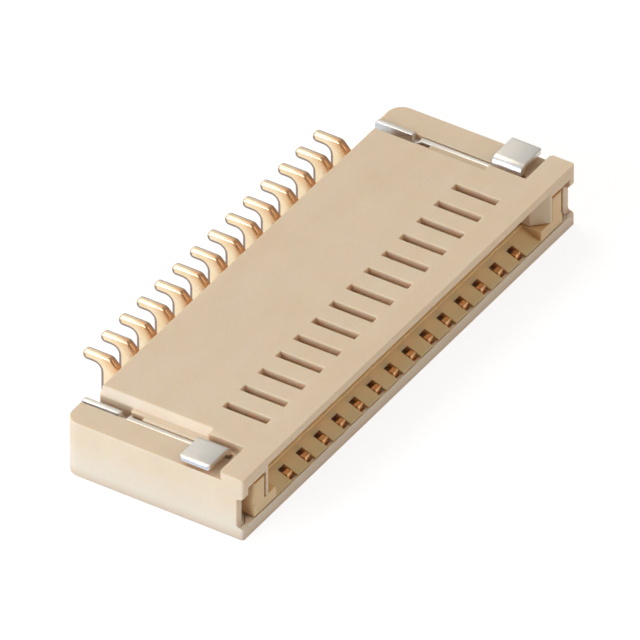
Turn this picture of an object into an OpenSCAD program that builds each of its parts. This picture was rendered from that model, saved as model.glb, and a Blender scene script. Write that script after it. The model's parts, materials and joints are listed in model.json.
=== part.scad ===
// Right-angle FPC connector with a sliding actuator, lying on its cover face, solder side up.
// Length runs along X, the cable mouth faces -Y, the solder tails leave towards +Y.
// Millimetres. The origin is the middle of the bounding box, on the cover face.

/* [Contacts] */
// Number of contacts
circuits = 14; // [4:1:24]
// Distance between contacts
pitch = 1.0; // [0.9:0.05:1.27]
// Thickness of the sheet that the terminals are blanked from
terminal_t = 0.28; // [0.2:0.01:0.34]
// Height of the soldering faces above the raised deck
standoff = 0.10; // [0.04:0.01:0.3]
// Distance from the rear wall to the tips of the solder feet
tail_reach = 1.42; // [1.2:0.02:2]
// Length of the flat solder foot
foot_l = 0.65; // [0.4:0.05:0.8]
// Thickness of the solder foot
foot_t = 0.34; // [0.2:0.01:0.4]
// Width of the riser that carries the foot
riser_w = 0.70; // [0.5:0.01:0.72]
// Height of the contact point above the closed slider
contact_gap = 0.20; // [0.1:0.01:0.3]
// Height of the stem that carries the tail through the rear wall
stem_h = 1.30; // [1.1:0.05:1.35]
// Width of each spring arm in the sheet's plane
arm_w = 0.26; // [0.18:0.01:0.34]

/* [Cable] */
// Side clearance of the cable in its guide
cable_side_gap = 0.05; // [0.02:0.01:0.15]
// Depth that the cable goes in
cable_depth = 3.30; // [2.8:0.1:3.6]
// Flare of the mouth on each side
flare_w = 0.50; // [0.2:0.05:0.55]
// Depth of that flare
flare_d = 0.45; // [0.2:0.05:0.7]

/* [Housing] */
// Height from the cover face to the raised deck
body_h = 2.28; // [2.2:0.02:2.8]
// Depth from the mouth to the rear wall
body_d = 6.18; // [6:0.1:7.5]
// Thickness of the cover wall
cover_wall = 0.43; // [0.35:0.01:0.5]
// Thickness of the wall under the terminals' grooves
groove_wall = 0.15; // [0.1:0.01:0.2]
// Thickness of the wall on the solder side
deck_wall = 0.28; // [0.2:0.01:0.36]
// Drop from the deck to the end blocks
deck_step = 0.27; // [0.15:0.01:0.35]
// How far the end blocks reach behind the rear wall
side_back = 0.30; // [0.1:0.02:0.5]
// Depth of the groove between the deck and the rear of each nail
groove_depth = 0.42; // [0.3:0.02:0.6]
// Half width that the deck has beyond the outer contact
deck_margin = 1.20; // [0.9:0.05:1.3]
// Outward lean of the deck's sides
deck_lean = 0.16; // [0:0.01:0.2]
// Depth of the full-width bar over the mouth
front_bar_d = 0.88; // [0.8:0.02:0.95]
// Thickness of the walls that guide the cable's edges
guide_wall = 0.60; // [0.56:0.01:0.8]
// Width of the pockets for the slider's ends
pocket_w = 1.00; // [0.95:0.01:1.2]
// Depth of those pockets
pocket_d = 0.78; // [0.7:0.02:0.84]
// Height of the bar over those pockets
pocket_lintel = 0.45; // [0.4:0.01:0.6]
// Thickness of the end walls
end_wall = 0.30; // [0.25:0.01:0.5]
// Depth of the finger notch in each end wall
end_notch_d = 0.24; // [0.1:0.02:0.4]
// Height of that notch
end_notch_h = 1.07; // [0.6:0.01:1.2]
// Radius of the upright corners at the mouth
front_corner_r = 0.10; // [0.04:0.01:0.28]
// Radius of the bar's corners beside the pads
bar_corner_r = 0.14; // [0.04:0.01:0.3]
// Radius of the upright corners at the rear
rear_corner_r = 0.52; // [0.1:0.02:0.6]
// Length of the relief slots in the deck
slot_l = 1.58; // [1:0.02:1.6]
// Width of the relief slots
slot_w = 0.30; // [0.2:0.01:0.4]
// Distance from the mouth to the relief slots
slot_from_front = 0.96; // [0.9:0.02:1.1]

/* [Slider] */
// Travel from closed to open
slider_travel = 1.20; // [0.8:0.05:1.3]
// Running clearance all round the slider
run_gap = 0.03; // [0.02:0.005:0.04]
// Thickness of the slider's tongue
tongue_t = 0.40; // [0.34:0.01:0.45]
// Length of the lead-in slope on its nose
nose_l = 0.88; // [0.6:0.02:1]
// Height of the nose's front edge
nose_edge = 0.04; // [0.03:0.01:0.1]
// Depth of the grooves under the tongue that pass the terminal hooks
comb_depth = 0.24; // [0.22:0.01:0.28]
// Width of those grooves
comb_w = 0.36; // [0.3:0.01:0.42]
// Width of the slider's end blocks
end_block_w = 0.58; // [0.5:0.01:0.64]
// Depth of the slider's end blocks
end_block_d = 0.70; // [0.6:0.01:0.72]
// Gap over the slider's end blocks
end_block_gap = 0.13; // [0.05:0.01:0.2]
// Width of the latch arms
latch_w = 0.34; // [0.25:0.01:0.36]
// Height of the latch arms
latch_h = 0.44; // [0.35:0.01:0.5]
// Length of the latch arms behind the end blocks
latch_l = 3.30; // [3:0.05:3.5]
// How far the latch bump stands out
latch_bump = 0.20; // [0.14:0.01:0.22]

/* [Fitting nails] */
// Thickness of the nail's sheet
nail_t = 0.20; // [0.15:0.01:0.22]
// Distance of the nail's plate from the cable
nail_in = 0.67; // [0.64:0.01:0.8]
// Depth of the nail's plate below the end block's surface
nail_depth = 0.78; // [0.5:0.02:0.8]
// Length of the solder pad along Y
pad_l = 1.09; // [0.8:0.01:1.2]
// Distance from the front bar to the pad
pad_gap = 0.32; // [0.2:0.01:0.5]
// Reach of the pad beyond the end wall
pad_out = 0.05; // [0:0.01:0.15]
// Outer radius of the pad's bend
pad_bend_r = 0.30; // [0.24:0.01:0.4]
// Radius of the pad's free corners
pad_corner_r = 0.14; // [0.04:0.01:0.3]
// How far the plate stands out of the end block's rear
nail_rear = 0.02; // [0.01:0.01:0.1]

/* [Hidden] */
function terminal_name(i) = str("terminal_", i < 10 ? "0" : "", i);
$fn = 48;
eps = 0.01;                        // overlap that keeps cuts clean
seat_gap = 0.015;                  // side clearance of a terminal or a nail in its seat
end_gap = 0.05;                    // clearance at the ends of what is pushed in

// Levels above the cover face
floor_z = cover_wall;
roof_z = body_h - deck_wall;
ledge_z = body_h - deck_step;
solder_z = body_h + standoff;
tongue_z = floor_z + run_gap;
tongue_top = tongue_z + tongue_t;
guide_foot_z = tongue_top + run_gap;
pocket_top = body_h - pocket_lintel;
arm_channel_top = tongue_z + latch_h + run_gap;

// Half widths from the middle plane
shoulder_out = 0.45;               // how far the shoulder by the pads reaches beyond the cable
tongue_out = 0.40;                 // how far the tongue runs under the cable guides
latch_in = 0.20;                   // room between a latch arm and the cable guide
row_half = (circuits - 1) / 2 * pitch;
cable_half = (circuits + 1) / 2 * pitch + cable_side_gap;
guide_half = cable_half + guide_wall;
pocket_half = guide_half + pocket_w;
body_half = pocket_half + end_wall;
deck_half = row_half + deck_margin;
deck_foot = deck_half + deck_lean;
shoulder_half = cable_half + shoulder_out;
tongue_room = cable_half + tongue_out;
block_in = guide_half + run_gap;
block_out = block_in + end_block_w;
arm_in = guide_half + latch_in;
arm_out = arm_in + latch_w;
plate_x = cable_half + nail_in;
nail_mid = plate_x + nail_t / 2;

// Depths behind the mouth's face
front_y = -(body_d + tail_reach) / 2;
side_end = body_d + side_back;
tongue_end = cable_depth - 2 * run_gap;
wing_end = tongue_end - 0.2;       // rear of the tongue's parts under the guides
pad_y = front_bar_d + pad_gap;
pad_end = pad_y + pad_l;
shoulder_end = pad_end - 0.1;
block_front = run_gap;
block_back = block_front + end_block_d;
latch_end = block_back + latch_l;
bump_l = 0.50;                     // length of the latch bump along its arm
bump_flat = 0.15;                  // part of it that stands out fully
bump_front = latch_end - bump_l;
rib_l = 0.50;                      // length of the rib that stops the open slider
rib_ramp = 0.30;                   // slope in front of the rib
rib_back = bump_front - slider_travel - run_gap;
channel_end = latch_end + 0.2;

// Terminal, in depth and height
hook_y = 0.20;                     // front of the hook on the fixed arm
hook_l = 0.22;
hook_h = 0.20;                     // height of the hook over its arm
hook_slope = 0.06;
comb_end = hook_y + hook_l + slider_travel + 0.1;
arm_z = groove_wall + 0.03;
arm_top = floor_z - 0.01;
cavity_top = roof_z - 0.12;
root_y = cable_depth + 0.55;       // where the two arms meet
tip_y = slot_from_front + 0.02;    // front of the spring arm
spring_top = cavity_top - 0.14;
contact_z = tongue_top + contact_gap;
stem_top = arm_z + stem_h;
foot_end = body_d + tail_reach;
riser_back = foot_end - foot_l;
riser_front = riser_back - riser_w;
riser_lean = 0.36;                 // how far the riser's front leans back on its way up
riser_knee = solder_z - 0.38;      // height where that lean begins
riser_z = groove_wall + 0.45;      // underside of the riser

// Nail
barb_y = 4.98;                     // depth of the barb's square end
barb_l = 0.25;
barb_out = 0.12;                   // how far the barb bites sideways
barb_h = 0.30;
barb_room = 0.55;                  // length of the pocket in front of the barb's end
nail_top = ledge_z - 0.04;         // edge of the plate, a little below the end block
nail_rear_top = ledge_z + 0.07;    // its rear part stands proud
nail_dip = 0.12;                   // dip between the two
nail_end = side_end + nail_rear;
groove_front = barb_y - 0.03;

// Rounds each corner of an outline. Every point is [x, y, radius].
function turn(c, r, a0, da, n) =
    [for (k = [0:n]) [c[0] + r * cos(a0 + da * k / n), c[1] + r * sin(a0 + da * k / n)]];
function xy(p) = [p[0], p[1]];
function dir(a, b) = (xy(b) - xy(a)) / norm(xy(b) - xy(a));
function wrap(a) = a > 180 ? a - 360 : a < -180 ? a + 360 : a;
function corner(a, p, b, n) =
    let (u = dir(p, a), v = dir(p, b), half = acos(max(-1, min(1, u * v))) / 2)
    p[2] == 0 || half > 89.5 ? [xy(p)] :
    let (t = p[2] / tan(half), c = xy(p) + (u + v) / norm(u + v) * p[2] / sin(half),
         s = xy(p) + u * t - c, e = xy(p) + v * t - c,
         a0 = atan2(s[1], s[0]), a1 = atan2(e[1], e[0]))
    turn(c, p[2], a0, wrap(a1 - a0), n);
function rounded(points, n = 4) =
    let (m = len(points))
    [for (i = [0:m - 1]) each corner(points[(i + m - 1) % m], points[i], points[(i + 1) % m], n)];

// A box given by its lowest and highest corner
module block(low, high) {
    translate(low) cube(high - low);
}

// Stands an outline drawn in depth and height upright, and spans it from x0 to x1
module along_x(x0, x1, points) {
    translate([x0, 0, 0]) rotate([90, 0, 90]) linear_extrude(x1 - x0) polygon(points);
}

// Lays an outline drawn in width and height across, and spans it from y0 to y1
module along_y(y0, y1, points) {
    translate([0, y1, 0]) rotate([90, 0, 0]) linear_extrude(y1 - y0) polygon(points);
}

// Raises an outline drawn in width and depth from z0 to z1
module upright(z0, z1, points) {
    translate([0, 0, z0]) linear_extrude(z1 - z0) polygon(points);
}

module at_each_contact() {
    for (i = [0:circuits - 1]) translate([i * pitch - row_half, 0, 0]) children();
}

module both_ends() {
    for (side = [0, 1]) mirror([side, 0, 0]) children();
}

// Body with its end blocks, the full-width bar over the mouth and the raised deck
module body_blank() {
    upright(0, ledge_z, rounded([
        [-body_half, 0, front_corner_r], [body_half, 0, front_corner_r],
        [body_half, side_end, rear_corner_r], [deck_foot, side_end, 0],
        [deck_foot, body_d, 0], [-deck_foot, body_d, 0],
        [-deck_foot, side_end, 0], [-body_half, side_end, rear_corner_r]], 8));
    upright(0, body_h, rounded([
        [-body_half, 0, front_corner_r], [body_half, 0, front_corner_r],
        [body_half, front_bar_d, bar_corner_r], [-body_half, front_bar_d, bar_corner_r]], 8));
    block([-shoulder_half, front_bar_d - eps, roof_z], [shoulder_half, shoulder_end, body_h]);
    // the deck's sides lean outwards on their way down
    along_y(front_bar_d - eps, body_d, [
        [-deck_foot, roof_z], [deck_foot, roof_z], [deck_foot, ledge_z],
        [deck_half, body_h], [-deck_half, body_h], [-deck_foot, ledge_z]]);
}

// Room for the cable, with flared sides at the mouth
module cable_space() {
    upright(guide_foot_z - eps, roof_z, [
        [-cable_half - flare_w, -eps], [cable_half + flare_w, -eps],
        [cable_half, flare_d], [cable_half, cable_depth],
        [-cable_half, cable_depth], [-cable_half, flare_d]]);
}

// Room for the slider's nose, tongue, end blocks and latch arms
module slider_space() {
    block([-pocket_half, -eps, floor_z], [pocket_half, pocket_d, guide_foot_z]);
    block([-tongue_room, 0, floor_z], [tongue_room, cable_depth, guide_foot_z]);
    both_ends() {
        block([guide_half, -eps, floor_z], [pocket_half, pocket_d, pocket_top]);
        difference() {
            block([guide_half, 0, floor_z], [pocket_half, channel_end, arm_channel_top]);
            stop_rib();
        }
    }
}

// Rib on the end wall that the latch bump meets when the slider is open
module stop_rib() {
    rib_in = arm_out + 2 * run_gap;
    upright(floor_z - eps, arm_channel_top + eps, [
        [pocket_half + eps, rib_back - rib_l - rib_ramp], [rib_in, rib_back - rib_l],
        [rib_in, rib_back], [pocket_half + eps, rib_back]]);
}

// Cavity of one terminal, open at the rear wall for stitching it in
module terminal_cavity() {
    half = terminal_t / 2 + seat_gap;
    block([-half, hook_y - end_gap, groove_wall], [half, cable_depth + eps, floor_z + eps]);
    block([-half, cable_depth - eps, groove_wall], [half, body_d + eps, cavity_top]);
}

// Slot in the deck over the free end of each spring arm
module relief_slot() {
    block([-slot_w / 2, slot_from_front, roof_z - eps],
          [slot_w / 2, slot_from_front + slot_l, body_h + eps]);
}

// Notch that lets a finger reach the slider's end, rounded inside and flared at its mouth
module finger_notch() {
    flare = end_notch_d * 0.4;
    notch_top = floor_z + end_notch_h;
    along_x(pocket_half - eps, body_half + eps, rounded([
        [-eps, floor_z - flare, 0], [flare, floor_z, flare],
        [end_notch_d, floor_z, flare * 0.8], [end_notch_d, notch_top, flare * 0.8],
        [flare, notch_top, flare], [-eps, notch_top + flare, 0]]));
}

// Slot for the nail's plate, with a pocket for its barb and a groove beside its rear part
module nail_slot() {
    half = nail_t / 2 + seat_gap;
    block([nail_mid - half, pad_y - end_gap, ledge_z - nail_depth], [nail_mid + half, side_end + eps, body_h]);
    block([nail_mid - half - barb_out - end_gap, barb_y - barb_room, ledge_z - barb_h - end_gap],
          [nail_mid, barb_y + end_gap, ledge_z + eps]);
    block([deck_foot, groove_front, ledge_z - groove_depth], [nail_mid, side_end + eps, ledge_z + eps]);
}

module housing() {
    color("wheat") translate([0, front_y, 0]) difference() {
        body_blank();
        cable_space();
        slider_space();
        at_each_contact() {
            terminal_cavity();
            relief_slot();
        }
        both_ends() {
            finger_notch();
            nail_slot();
        }
    }
}

// Side view of the slider's nose and tongue
function tongue_outline() = rounded([
    [block_front, tongue_z, 0], [block_front, tongue_z + nose_edge, 0.015],
    [block_front + nose_l, tongue_top, 0.15], [tongue_end, tongue_top, 0.12],
    [tongue_end, tongue_z, 0.05]]);

// End block with the latch arm behind it
module slider_end() {
    block([cable_half, block_front, tongue_z], [block_out, block_back, tongue_top]);
    upright(tongue_z, pocket_top - end_block_gap, rounded([
        [block_in, block_front, 0.06], [block_out, block_front, 0.1],
        [block_out, block_back, 0.05], [block_in, block_back, 0.05]]));
    upright(tongue_z, tongue_z + latch_h, rounded([
        [arm_in, block_back - eps, 0], [arm_out, block_back - eps, 0],
        [arm_out, bump_front, 0.03], [arm_out + latch_bump, bump_front, 0.05],
        [arm_out + latch_bump, bump_front + bump_flat, 0.08],
        [arm_out, latch_end, 0.05], [arm_in, latch_end, 0.05]]));
}

module slider() {
    wing_half = tongue_room - run_gap;
    color("cornsilk") translate([0, front_y, 0]) difference() {
        union() {
            along_x(-cable_half, cable_half, tongue_outline());
            block([-wing_half, block_back - eps, tongue_z], [wing_half, wing_end, tongue_top]);
            both_ends() slider_end();
        }
        at_each_contact()
            block([-comb_w / 2, -eps, tongue_z - eps], [comb_w / 2, comb_end, tongue_z + comb_depth]);
    }
}

// Side view of a terminal: hook and fixed arm, spring arm, retention hump, stem, riser and foot
function terminal_outline() = let (
    point_y = tip_y + 0.32,            // middle of the contact point
    point_half = 0.10,
    bend_y = tip_y + 0.62,             // where the spring arm's underside levels out
    hump_y = root_y + 0.55,            // top of the hump that grips the cavity
    hump_l = 0.25)
    rounded([
    [hook_y, arm_z, 0.05], [hook_y, arm_top + hook_h, 0.04],
    [hook_y + hook_l, arm_top + hook_h, 0.08], [hook_y + hook_l + hook_slope, arm_top, 0.06],
    [root_y, arm_top, 0.18], [root_y, cavity_top - arm_w - 0.1, 0.18],
    [bend_y, spring_top - arm_w, 0.12], [point_y + point_half, contact_z, 0.08],
    [point_y - point_half, contact_z, 0.08], [tip_y, spring_top - arm_w / 2, 0.06],
    [tip_y + 0.05, spring_top, 0.08], [root_y, cavity_top - 0.05, 0.2],
    [hump_y, cavity_top, 0.02], [hump_y + 0.07, cavity_top - 0.1, 0.02],
    [hump_y + hump_l, stem_top, 0.1], [riser_front, stem_top, 0.05],
    [riser_front, riser_knee, 0.15], [riser_front + riser_lean, solder_z, 0.22], [foot_end, solder_z, foot_t * 0.4],
    [foot_end, solder_z - foot_t, foot_t * 0.45], [riser_back, solder_z - foot_t, 0.24],
    [riser_back, riser_z, 0.2], [body_d + 0.05, riser_z, 0.05],
    [body_d - 0.15, groove_wall, 0.05], [root_y - 0.2, groove_wall, 0.05], [root_y - 0.3, arm_z, 0]]);

module terminal(i) {
    color("gold") translate([(i - 1) * pitch - row_half, front_y, 0])
        along_x(-terminal_t / 2, terminal_t / 2, terminal_outline());
}

// Side view of the nail's plate: low edge in front, dip behind the barb, proud edge at the rear
function plate_outline() = let (
    foot_z = ledge_z - nail_depth,
    dip_z = nail_top - nail_dip)
    rounded([
    [pad_y, foot_z, 0.05], [pad_y, nail_top, 0], [barb_y - 0.1, nail_top, 0.03],
    [barb_y - 0.05, dip_z, 0.03], [barb_y + 0.1, dip_z, 0.03],
    [barb_y + 0.15, nail_rear_top, 0.05], [nail_end, nail_rear_top, 0.1],
    [nail_end, ledge_z - 0.5, 0.08], [nail_end - 0.35, foot_z, 0.1]]);

// Pad bent outwards over the end block, with its free corners rounded
module pad() {
    tip_x = body_half + pad_out;
    root_z = nail_top - 0.1;
    intersection() {
        along_y(pad_y, pad_end, rounded([
            [plate_x, root_z, 0], [plate_x, solder_z, pad_bend_r],
            [tip_x, solder_z, 0.08], [tip_x, solder_z - nail_t, 0.04],
            [plate_x + nail_t, solder_z - nail_t, pad_bend_r - nail_t],
            [plate_x + nail_t, root_z, 0]], 8));
        upright(root_z, solder_z + eps, rounded([
            [plate_x - eps, pad_y, 0], [tip_x, pad_y, pad_corner_r],
            [tip_x, pad_end, pad_corner_r], [plate_x - eps, pad_end, 0]]));
    }
}

module fitting_nail() {
    translate([0, front_y, 0]) color("silver") {
        along_x(plate_x, plate_x + nail_t, plate_outline());
        upright(nail_top - barb_h, nail_top, [
            [plate_x + eps, barb_y - barb_l], [plate_x + eps, barb_y - 0.1],
            [plate_x - barb_out, barb_y - 0.1]]);
        pad();
    }
}

module fitting_nail_right() {
    fitting_nail();
}

module fitting_nail_left() {
    mirror([1, 0, 0]) fitting_nail();
}

housing();
slider();
fitting_nail_left();
fitting_nail_right();
for (i = [1:circuits]) terminal(i);
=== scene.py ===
import json
import math

import bmesh
import bpy
import numpy as np
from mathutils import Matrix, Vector


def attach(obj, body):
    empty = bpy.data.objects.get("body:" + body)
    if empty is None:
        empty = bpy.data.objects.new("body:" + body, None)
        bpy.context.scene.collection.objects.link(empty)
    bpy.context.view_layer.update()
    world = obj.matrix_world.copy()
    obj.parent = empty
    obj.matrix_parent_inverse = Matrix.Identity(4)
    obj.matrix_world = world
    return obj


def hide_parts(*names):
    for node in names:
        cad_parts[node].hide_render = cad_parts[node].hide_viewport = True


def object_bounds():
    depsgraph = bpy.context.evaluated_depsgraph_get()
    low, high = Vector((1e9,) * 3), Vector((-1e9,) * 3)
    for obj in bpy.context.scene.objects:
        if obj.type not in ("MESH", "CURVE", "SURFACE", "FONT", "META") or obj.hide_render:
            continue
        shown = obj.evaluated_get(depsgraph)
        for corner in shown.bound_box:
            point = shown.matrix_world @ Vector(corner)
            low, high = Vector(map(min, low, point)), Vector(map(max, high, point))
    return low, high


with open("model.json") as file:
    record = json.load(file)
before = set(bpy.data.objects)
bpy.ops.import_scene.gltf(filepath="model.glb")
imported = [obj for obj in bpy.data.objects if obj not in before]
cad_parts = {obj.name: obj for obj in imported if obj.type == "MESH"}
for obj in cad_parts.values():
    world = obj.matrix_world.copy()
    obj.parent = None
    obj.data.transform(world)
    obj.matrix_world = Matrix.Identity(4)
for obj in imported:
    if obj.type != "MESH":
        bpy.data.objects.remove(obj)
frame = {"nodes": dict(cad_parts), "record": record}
cadLow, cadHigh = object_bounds()
mm = 0.001


# sRGB hex to the linear values that a shader works in
def linearColour(hexCode):
    parts = [int(hexCode[i:i + 2], 16) / 255 for i in (0, 2, 4)]
    return tuple(c / 12.92 if c <= 0.04045 else ((c + 0.055) / 1.055) ** 2.4 for c in parts) + (1.0,)


# one node: its own properties first, then each socket's value, or the output that feeds it
def addNode(tree, kind, props=None, sockets=None):
    node = tree.nodes.new(kind)
    for name, value in (props or {}).items():
        setattr(node, name, value)
    for name, value in (sockets or {}).items():
        if isinstance(value, bpy.types.NodeSocket):
            tree.links.new(value, node.inputs[name])
        else:
            node.inputs[name].default_value = value
    return node


# an empty material with its output and one Principled shader, whose even values are set on its own sockets
def newMaterial(name, shaderValues):
    material = bpy.data.materials.new(name)
    material.use_nodes = True
    tree = material.node_tree
    tree.nodes.clear()
    shader = addNode(tree, "ShaderNodeBsdfPrincipled", sockets=shaderValues)
    addNode(tree, "ShaderNodeOutputMaterial", sockets={"Surface": shader.outputs[0]})
    return material, tree, shader


# one number worked out of others, such as their product or the larger of two
def combine(tree, operation, *values):
    return addNode(tree, "ShaderNodeMath", {"operation": operation}, dict(enumerate(values))).outputs[0]


# one of the three numbers in a vector, named "X", "Y" or "Z"
def axisOf(tree, vector, axis):
    return addNode(tree, "ShaderNodeSeparateXYZ", sockets={"Vector": vector}).outputs[axis]


# how many pattern repeats fit in one metre of Object coordinates, for a pattern of that size in mm
def perMetre(sizeMm):
    return 1 / (sizeMm * mm)


# noise of one grain size on Object coordinates, stretched along an axis by the Mapping scale
def grain(tree, place, sizeMm, detail=2.0, rough=0.5, stretch=(1, 1, 1)):
    spread = addNode(tree, "ShaderNodeMapping", sockets={"Vector": place, "Scale": stretch})
    return addNode(tree, "ShaderNodeTexNoise", sockets={
        "Vector": spread.outputs[0], "Scale": perMetre(sizeMm), "Detail": detail, "Roughness": rough}).outputs[0]


# Maps a signal's range (fromLow, fromHigh) on to (low, high) and holds it there beyond the ends.
# The range that is taken when none is given is where most of a noise lies.
def between(tree, signal, low, high, fromLow=0.3, fromHigh=0.7):
    return addNode(tree, "ShaderNodeMapRange", sockets={
        "Value": signal, "From Min": fromLow, "From Max": fromHigh, "To Min": low, "To Max": high}).outputs[0]


# the first colour turning into the second, or multiplied by it, as the signal goes from 0 to 1
def blendColours(tree, signal, first, second, mode="MIX"):
    return addNode(tree, "ShaderNodeMix", {"data_type": "RGBA", "blend_type": mode},
                   {0: signal, 6: first, 7: second}).outputs[2]


# a bump of that height in mm, over an earlier one if given
def bumps(tree, strength, heightMm, signal, under=None):
    sockets = {"Strength": strength, "Distance": heightMm * mm, "Height": signal}
    if under:
        sockets["Normal"] = under
    return addNode(tree, "ShaderNodeBump", sockets=sockets).outputs[0]


# Liquid crystal polymer with glass fibre, injection moulded in a spark-eroded tool: a satin beige
# with a fine even grain, faint flow streaks along the fill and slight mottling. It is painted paler towards
# the cover side as painted light from the white floor, and browner in slots and recesses as painted shade.
def mouldedPolymer(name, look):
    material, tree, shader = newMaterial(name, {
        "IOR": look["ior"], "Subsurface Weight": look["glow"], "Subsurface Radius": look["glowSpread"],
        "Subsurface Scale": look["glowDepthMm"] * mm})
    place = addNode(tree, "ShaderNodeTexCoord").outputs["Object"]
    mottling = between(tree, grain(tree, place, look["mottleMm"], look["detail"]), 0, 1)
    streaks = grain(tree, place, look["streakMm"], stretch=look["streakStretch"])
    pits = grain(tree, place, look["grainMm"], look["detail"], look["grainRough"])
    body = blendColours(tree, mottling, linearColour(look["colour"]), linearColour(look["mottleColour"]))
    body = blendColours(tree, between(tree, streaks, 0, look["streakShare"]), body,
                        linearColour(look["streakColour"]))
    # painted light from the white floor: paler towards the cover side, fading out between the given heights
    floorLightFrom, floorLightTo = look["floorLightFromToMm"]
    skinBumpAndFloorLight = between(tree, axisOf(tree, place, "Z"), look["floorLightShare"], 0, floorLightFrom * mm, floorLightTo * mm)
    body = blendColours(tree, skinBumpAndFloorLight, body, linearColour(look["floorLightColour"]))
    body = blendColours(tree, between(tree, pits, 0, look["speckShare"], *look["speckFromTo"]), body,
                        linearColour(look["speckColour"]))
    # painted shade: the colour turns browner where ambient occlusion finds the part closed in
    openness = addNode(tree, "ShaderNodeAmbientOcclusion", {"samples": look["shadeSamples"]},
                       {"Distance": look["shadeReachMm"] * mm}).outputs["AO"]
    shade = between(tree, openness, look["shadeShare"], 0, *look["shadeFromTo"])
    body = blendColours(tree, shade, body, linearColour(look["shadeColour"]), "MULTIPLY")
    tree.links.new(body, shader.inputs["Base Color"])
    tree.links.new(between(tree, pits, look["roughLow"], look["roughHigh"]), shader.inputs["Roughness"])
    grit = bumps(tree, look["relief"], look["reliefMm"], pits)
    tree.links.new(bumps(tree, look["relief"], look["waveMm"], streaks, grit), shader.inputs["Normal"])
    return material


# Thin plating on blanked phosphor bronze. The rolled faces are smooth, and the sheared edges, which
# face across the sheet, carry fine lines along the punch's stroke. A rim attribute marks rims that are
# painted grey-brown as painted shade. Gold is thick on the contacts, and the tails' leaning riser fronts
# are painted orange-brown as painted shade.
def platedMetal(name, look):
    material, tree, shader = newMaterial(name, {"Metallic": 1.0})
    place = addNode(tree, "ShaderNodeTexCoord").outputs["Object"]
    crystals = grain(tree, place, look["crystalMm"])
    clouds = between(tree, grain(tree, place, look["cloudMm"]), 0, 1)
    strokes = grain(tree, place, look["strokeMm"], stretch=look["strokeStretch"])
    metal = blendColours(tree, clouds, linearColour(look["colour"]), linearColour(look["cloudColour"]))
    normal = addNode(tree, "ShaderNodeNewGeometry").outputs["Normal"]
    rolled = combine(tree, "ABSOLUTE", axisOf(tree, normal, "X"))
    sheared = between(tree, rolled, 1, 0, *look["rolledFromTo"])
    metal = blendColours(tree, sheared, metal, linearColour(look["shearColour"]))
    if "contactColour" in look:
        # painted shade: the tail's leaning riser front turns orange-brown
        riserShadeFrom, riserShadeTo = look["riserShadeFromToMm"]
        tailFrom, tailTo = look["tailFromToMm"]
        reach = addNode(tree, "ShaderNodeVectorMath", {"operation": "DOT_PRODUCT"},
                        {0: place, 1: look["riserShadeTowards"]}).outputs["Value"]
        tail = between(tree, axisOf(tree, place, "Y"), 0, 1, tailFrom * mm, tailTo * mm)
        riserShade = combine(tree, "MULTIPLY", between(tree, reach, 1, 0, riserShadeFrom * mm, riserShadeTo * mm), tail)
        metal = blendColours(tree, riserShade, metal, linearColour(look["riserShadeColour"]))
        metal = blendColours(tree, tail, linearColour(look["contactColour"]), metal)
    # painted shade: the rims marked by the rim attribute turn grey-brown
    rimShaded = addNode(tree, "ShaderNodeAttribute", {"attribute_name": "rimShade"}).outputs["Fac"]
    rimShaded = between(tree, rimShaded, 0, 1, *look["rimShadeFromTo"])
    metal = blendColours(tree, rimShaded, metal, linearColour(look["rimShadeColour"]))
    tree.links.new(metal, shader.inputs["Base Color"])
    smooth = between(tree, crystals, look["roughLow"], look["roughHigh"])
    tree.links.new(combine(tree, "MULTIPLY_ADD", sheared, look["shearRough"], smooth), shader.inputs["Roughness"])
    skinBumpAndFloorLight = bumps(tree, look["relief"], look["crystalDepthMm"], crystals)
    lines = combine(tree, "MULTIPLY", strokes, sheared)
    tree.links.new(bumps(tree, look["relief"], look["strokeDepthMm"], lines, skinBumpAndFloorLight), shader.inputs["Normal"])
    return material


# The mould's grit is about 0.02 mm; it is drawn at 0.07 mm so that it shows.
housingLook = {
    "colour": "e8d4b7", "mottleColour": "e5cfb0", "streakColour": "ecdac0", "speckColour": "d2ba98",
    "mottleMm": 1.6, "streakMm": 0.8, "streakStretch": (0.22, 1, 1), "streakShare": 0.5,
    "grainMm": 0.07, "grainRough": 0.65, "detail": 3, "speckShare": 0.35, "speckFromTo": (0.55, 0.75),
    "roughLow": 0.42, "roughHigh": 0.58, "relief": 0.35, "reliefMm": 0.006, "waveMm": 0.01,
    "ior": 1.6, "glow": 0.35, "glowSpread": (1.0, 0.5, 0.25), "glowDepthMm": 0.35,
    "shadeColour": "deba9a", "shadeShare": 0.8, "shadeReachMm": 0.4, "shadeFromTo": (0.2, 1), "shadeSamples": 8,
    "floorLightColour": "e8decd", "floorLightShare": 0.65, "floorLightFromToMm": (0.4, 1.4)}
sliderLook = dict(housingLook, colour="efcd9c", mottleColour="e9c691", streakColour="f2d5aa",
                  glow=0.5, glowDepthMm=0.5, shadeColour="d4ac80", floorLightShare=0)
# Gold over nickel. The riser's painted shade is graded along a direction square to the tail's leaning front.
goldLook = {
    "colour": "f9e6c6", "cloudColour": "f4daaf", "shearColour": "e8d4b6", "rimShadeColour": "988780",
    "riserShadeColour": "d8945a", "riserShadeTowards": (0, 0.726, -0.688), "riserShadeFromToMm": (0.25, 0.78),
    "contactColour": "ffd29c", "tailFromToMm": (2.0, 2.4), "rolledFromTo": (0.5, 0.8), "rimShadeFromTo": (0, 0.35),
    "crystalMm": 0.05, "cloudMm": 0.5, "strokeMm": 0.06, "strokeStretch": (0.12, 1, 1),
    "roughLow": 0.24, "roughHigh": 0.34, "shearRough": 0.08,
    "relief": 0.3, "crystalDepthMm": 0.0008, "strokeDepthMm": 0.003}
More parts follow.
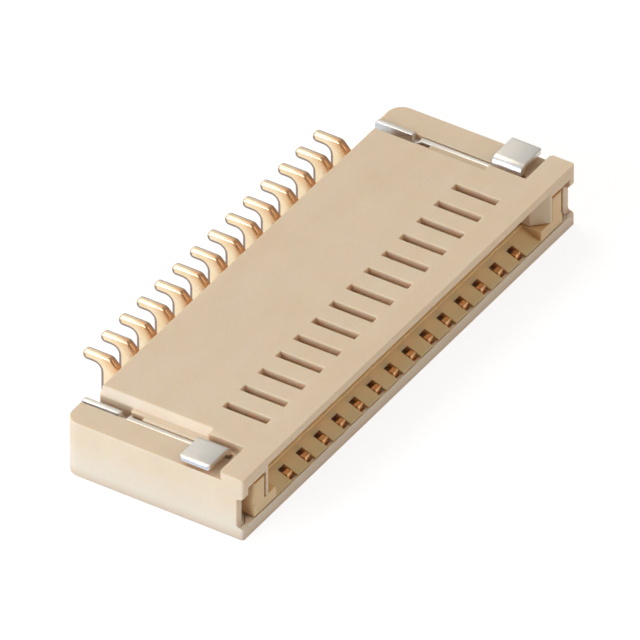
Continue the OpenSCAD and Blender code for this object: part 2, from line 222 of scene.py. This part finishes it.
# Matt tin, whose crystals are a few hundredths of a millimetre
tinLook = {
    "colour": "d0d3d8", "cloudColour": "c9ccd0", "shearColour": "dbd8d1", "rimShadeColour": "8c8a88",
    "rolledFromTo": (0.5, 0.8), "rimShadeFromTo": (0, 0.35),
    "crystalMm": 0.06, "cloudMm": 0.35, "strokeMm": 0.06, "strokeStretch": (0.12, 1, 1),
    "roughLow": 0.26, "roughHigh": 0.42, "shearRough": 0.08,
    "relief": 0.5, "crystalDepthMm": 0.003, "strokeDepthMm": 0.004}
materials = {
    "housing_plastic": mouldedPolymer("mouldedLiquidCrystalPolymer", housingLook),
    "slider_plastic": mouldedPolymer("mouldedPolymerOfSlider", sliderLook),
    "gold_plate": platedMetal("goldPlatedBronze", goldLook),
    "tin_plate": platedMetal("mattTinPlatedBronze", tinLook),
}
print("materials made:", len(materials))


# a new object of that mesh, shaded smooth, whose broad faces keep their own normals
def finishedPiece(pieceName, mesh):
    mesh.polygons.foreach_set("use_smooth", np.ones(len(mesh.polygons), bool))
    piece = bpy.data.objects.new(pieceName, mesh)
    bpy.context.scene.collection.objects.link(piece)
    piece.modifiers.new("faceNormals", "WEIGHTED_NORMAL").keep_sharp = True
    return piece


# A solid's own faces in millimetres, joined at their seams and cleared of flat triangles. The limits of
# Blender's mesh tools are meant for sizes near one, so the work is done in millimetres.
def solidForm(nodeName, shape):
    form = bmesh.new()
    form.from_mesh(frame["nodes"][nodeName].data)
    bmesh.ops.scale(form, vec=(1 / mm,) * 3, verts=form.verts)
    bmesh.ops.remove_doubles(form, verts=form.verts, dist=shape["weldMm"])
    bmesh.ops.dissolve_limit(form, angle_limit=math.radians(shape["flatDeg"]), verts=form.verts, edges=form.edges)
    return form


# a copy in which each edge that turns more than the limit is rounded by an arc of the given radius,
# tangent to both faces
def roundedCopy(nodeName, pieceName, shape):
    form = solidForm(nodeName, shape)
    bmesh.ops.connect_verts_concave(form, faces=form.faces)  # a face with a hole or a notch is cut into plain ones
    sharp = [e for e in form.edges if e.is_manifold and e.calc_face_angle() > math.radians(shape["fromDeg"])
             and e.calc_length() > shape["shortestMm"]]
    bmesh.ops.bevel(form, geom=sharp, offset=shape["roundMm"], offset_type="OFFSET", affect="EDGES",
                    segments=shape["segments"], profile=0.5, clamp_overlap=False)
    for edge in form.edges:
        edge.smooth = edge.is_manifold and edge.calc_face_angle() < math.radians(shape["keepDeg"])
    bmesh.ops.scale(form, vec=(mm,) * 3, verts=form.verts)
    mesh = bpy.data.meshes.new(pieceName)
    form.to_mesh(mesh)
    form.free()
    return finishedPiece(pieceName, mesh)


# the outline of a flat blanked part, read from the face on its -X side as depth and height in mm,
# with the x of its two sides
def outlineOf(nodeName, shape):
    form = solidForm(nodeName, shape)
    side = max((f for f in form.faces if f.normal.x < -0.99), key=lambda f: f.calc_area())
    points = np.array([(v.co.y, v.co.z) for v in side.verts])
    xs = [v.co.x for v in form.verts]
    form.free()
    return points, min(xs), max(xs)


# The way out at each point of a closed outline, so long that a step of it moves both edges there by one
# step: the sum of their unit normals n and m, over 1 + n.m.
def outwardOf(outline):
    following = np.roll(outline, -1, axis=0)
    edge = following - outline
    edge /= np.linalg.norm(edge, axis=1)[:, None]
    turning = np.sign(np.sum(outline[:, 0] * following[:, 1] - outline[:, 1] * following[:, 0]))
    after = np.c_[edge[:, 1], -edge[:, 0]] * turning
    before = np.roll(after, 1, axis=0)
    return (before + after) / (1 + np.sum(before * after, axis=1))[:, None]


# A blanked part whose two rims are rounded: rings of the outline from one side to the other, each at
# x = side - r + r sin a and drawn in by r (1 - cos a), where the radius r grows towards the tail.
# A rim attribute, painted shade, is 1 on a rim where the outline faces the side given for that rim, and fades
# beyond the rim.
def blankedCopy(nodeName, pieceName, shape):
    outline, left, right = outlineOf(nodeName, shape)
    outward = outwardOf(outline)
    facing = outward / np.linalg.norm(outward, axis=1)[:, None]
    radius = np.interp(outline[:, 0], shape["growFromTo"], shape["roundFromTo"])
    angles = np.radians(np.linspace(90, 0, shape["segments"] + 1))
    rounds = [(0, 1 + shape["rimShadeReach"], 0)] + [(1 - math.sin(a), 1 - math.cos(a), 1) for a in angles]
    points, rimShades = [], []
    for x, inward, rim in ((left, 1, shape["leftRim"]), (right, -1, shape["rightRim"])):
        # painted shade: how far each rim faces the side given for it
        shadedSide = np.interp(facing @ np.array(rim["towards"]), shape["facingFromTo"], (0, 1))
        shadedSide *= radius > shape["rimShadeFromMm"]
        for aside, drawnIn, share in rounds[::inward]:
            points.append(np.c_[x + inward * radius * aside, outline - outward * (radius * drawnIn)[:, None]])
            rimShades.append(shadedSide * share * min(1, max(0, (rim["upTo"] - aside) / shape["rimShadeFade"])))
    count, rings = len(outline), len(points)
    faces = [tuple(range(count))[::-1], tuple(range((rings - 1) * count, rings * count))]
    for k in range(rings - 1):
        for i in range(count):
            j = (i + 1) % count
            faces.append((k * count + i, k * count + j, (k + 1) * count + j, (k + 1) * count + i))
    mesh = bpy.data.meshes.new(pieceName)
    mesh.from_pydata((np.vstack(points) * mm).tolist(), [], faces)
    mesh.attributes.new("rimShade", "FLOAT", "POINT").data.foreach_set("value", np.concatenate(rimShades))
    form = bmesh.new()
    form.from_mesh(mesh)
    bmesh.ops.recalc_face_normals(form, faces=form.faces)
    for edge in form.edges:
        edge.smooth = edge.calc_face_angle() < math.radians(shape["keepDeg"])
    form.to_mesh(mesh)
    form.free()
    return finishedPiece(pieceName, mesh)


bodyOfNode = {n: body for body, nodes in frame["record"]["behaviour"]["bodies"].items() for n in nodes}
mouldedEdges = {"weldMm": 0.0005, "flatDeg": 1, "roundMm": 0.03, "segments": 3, "fromDeg": 25, "keepDeg": 42,
                "shortestMm": 0.1}
sliderEdges = dict(mouldedEdges, roundMm=0.015)
nailEdges = dict(mouldedEdges, roundMm=0.035, fromDeg=40, shortestMm=0.02)
# The terminals' edges are sharp inside the housing and well rounded at their tails. The painted rim shade
# lies below and behind on the left rim, and above on the right one.
terminalEdges = {
    "weldMm": 0.0005, "flatDeg": 1, "growFromTo": (1.2, 2.4), "roundFromTo": (0.015, 0.08), "segments": 6,
    "leftRim": {"towards": (0.6, -0.8), "upTo": 0.7}, "rightRim": {"towards": (0.5, 0.86), "upTo": 1},
    "facingFromTo": (0.2, 0.5), "rimShadeFromMm": 0.05, "rimShadeReach": 0.6, "rimShadeFade": 0.3, "keepDeg": 42}


# how one node is finished, by what it is: its slot, the function that makes its piece, and its edges
def finishOf(nodeName):
    if nodeName.startswith("terminal"):
        return "gold_plate", blankedCopy, terminalEdges
    if nodeName.startswith("fitting_nail"):
        return "tin_plate", roundedCopy, nailEdges
    if nodeName == "slider":
        return "slider_plastic", roundedCopy, sliderEdges
    return "housing_plastic", roundedCopy, mouldedEdges


for nodeName in sorted(frame["nodes"]):
    slotName, makeCopy, edges = finishOf(nodeName)
    piece = makeCopy(nodeName, nodeName + "_finished", edges)
    piece.data.materials.append(materials[slotName])
    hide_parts(nodeName)
    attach(piece, bodyOfNode[nodeName])
    print("piece:", piece.name, len(piece.data.polygons), "faces")


# the light path's signals, and one that is 1 for a ray straight from the camera or through a clear piece
def seenRays(tree):
    path = addNode(tree, "ShaderNodeLightPath").outputs
    return path, combine(tree, "MAXIMUM", path["Is Camera Ray"], path["Is Transmission Ray"])


# a large square card under the part
def makeFloor(look):
    half = look["sizeMm"] * mm / 2
    corners = np.array([[-1, -1], [1, -1], [1, 1], [-1, 1]]) * half
    mesh = bpy.data.meshes.new("floorCard")
    mesh.from_pydata(np.c_[corners, np.zeros(4)].tolist(), [], [(0, 1, 2, 3)])
    floor = bpy.data.objects.new("floorCard", mesh)
    bpy.context.scene.collection.objects.link(floor)
    material = bpy.data.materials.new("whiteCard")
    material.use_nodes = True
    tree = material.node_tree
    tree.nodes.clear()
    path, seen = seenRays(tree)
    seen = combine(tree, "MAXIMUM", seen, path["Is Glossy Ray"])
    strength = combine(tree, "MULTIPLY", seen, look["ownGlow"])
    card = addNode(tree, "ShaderNodeBsdfDiffuse", sockets={"Color": linearColour(look["colour"])}).outputs[0]
    dull = addNode(tree, "ShaderNodeBsdfDiffuse", sockets={"Color": (look["cardShare"],) * 3 + (1,)}).outputs[0]
    glow = addNode(tree, "ShaderNodeEmission", sockets={"Color": (1, 1, 1, 1), "Strength": strength}).outputs[0]
    shown = addNode(tree, "ShaderNodeAddShader", sockets={0: dull, 1: glow}).outputs[0]
    both = addNode(tree, "ShaderNodeMixShader", sockets={0: seen, 1: card, 2: shown}).outputs[0]
    addNode(tree, "ShaderNodeOutputMaterial", sockets={"Surface": both})
    mesh.materials.append(material)


# Pale card that lights the part as such, but looks white to the camera and in mirror images: there it
# glows by itself, and the rest comes from the lamps, so that the part's shadow stays on it.
floorLook = {"sizeMm": 6000, "colour": "e3e3e6", "cardShare": 0.3, "ownGlow": 0.82}
makeFloor(floorLook)
print("floor laid")

# World: an even pale room for the light on the object, and plain white behind it. Mirror images see
# its bright rear side fade to the dark side in front, where the camera stands.
roomLook = {"fill": 0.30, "fillColour": "f6f6f6", "frontSide": 0.14, "rearSide": 0.70, "fadeFromTo": (-0.7, 0.4),
            "seen": 1.0}
world = bpy.data.worlds.new("paleRoom")
bpy.context.scene.world = world
world.use_nodes = True
room = world.node_tree
room.nodes.clear()
path, seen = seenRays(room)
side = axisOf(room, addNode(room, "ShaderNodeTexCoord").outputs["Generated"], "Y")
mirrored = between(room, side, roomLook["frontSide"], roomLook["rearSide"], *roomLook["fadeFromTo"])
fill, mirror, behind = (
    addNode(room, "ShaderNodeBackground", sockets={"Color": colour, "Strength": strength}).outputs[0]
    for colour, strength in ((linearColour(roomLook["fillColour"]), roomLook["fill"]),
                             ((1, 1, 1, 1), mirrored), ((1, 1, 1, 1), roomLook["seen"])))
lit = addNode(room, "ShaderNodeMixShader", sockets={0: path["Is Glossy Ray"], 1: fill, 2: mirror}).outputs[0]
shown = addNode(room, "ShaderNodeMixShader", sockets={0: seen, 1: lit, 2: behind}).outputs[0]
addNode(room, "ShaderNodeOutputWorld", sockets={"Surface": shown})
print("room set")

# Softboxes: direction towards the lamp, distance and size in mm, and the level that a white card
# facing it would show
softboxes = {
    "keySoftbox": {"towards": (-0.88, 0.36, 0.31), "distanceMm": 200, "sizeMm": 150, "level": 0.94,
                   "colour": "e8f2ff"},
    "topSoftbox": {"towards": (0.20, 0.62, 0.76), "distanceMm": 200, "sizeMm": 100, "level": 0.34,
                   "colour": "fcf0e2"},
    "frontSoftbox": {"towards": (0.25, -0.80, 0.52), "distanceMm": 200, "sizeMm": 110, "level": 0.215,
                     "colour": "ffead0"},
}
centre = (cadLow + cadHigh) / 2
for name, box in softboxes.items():
    lamp = bpy.data.lights.new(name, "AREA")
    lamp.shape = "SQUARE"
    lamp.size = box["sizeMm"] * mm
    lamp.color = linearColour(box["colour"])[:3]
    lamp.energy = box["level"] * (math.pi * box["distanceMm"] * mm) ** 2
    holder = bpy.data.objects.new(name, lamp)
    bpy.context.scene.collection.objects.link(holder)
    towards = Vector(box["towards"]).normalized()
    holder.location = centre + towards * box["distanceMm"] * mm
    holder.rotation_mode = "QUATERNION"
    holder.rotation_quaternion = towards.to_track_quat("Z", "Y")
print("softboxes hung:", len(softboxes))

# Camera: a long lens, so the parallel edges stay nearly parallel
cameraSetup = {"azimuthDeg": -57.55, "elevationDeg": 37.32, "distanceMm": 900, "widthMm": 19.54,
               "sensorMm": 36, "aimMm": (0.563, -0.183, 0.494)}
turn, rise = math.radians(cameraSetup["azimuthDeg"]), math.radians(cameraSetup["elevationDeg"])
back = Vector((math.sin(turn) * math.cos(rise), -math.cos(turn) * math.cos(rise), math.sin(rise)))
lens = bpy.data.cameras.new("camera")
lens.sensor_width = cameraSetup["sensorMm"]
lens.lens = cameraSetup["sensorMm"] * cameraSetup["distanceMm"] / cameraSetup["widthMm"]
lens.clip_start = cameraSetup["distanceMm"] * mm / 100
lens.clip_end = cameraSetup["distanceMm"] * mm * 20
camera = bpy.data.objects.new("camera", lens)
bpy.context.scene.collection.objects.link(camera)
camera.location = Vector(cameraSetup["aimMm"]) * mm + back * cameraSetup["distanceMm"] * mm
camera.rotation_mode = "QUATERNION"
camera.rotation_quaternion = back.to_track_quat("Z", "Y")
bpy.context.scene.camera = camera
bpy.context.scene.view_settings.view_transform = "Standard"
print("camera set")
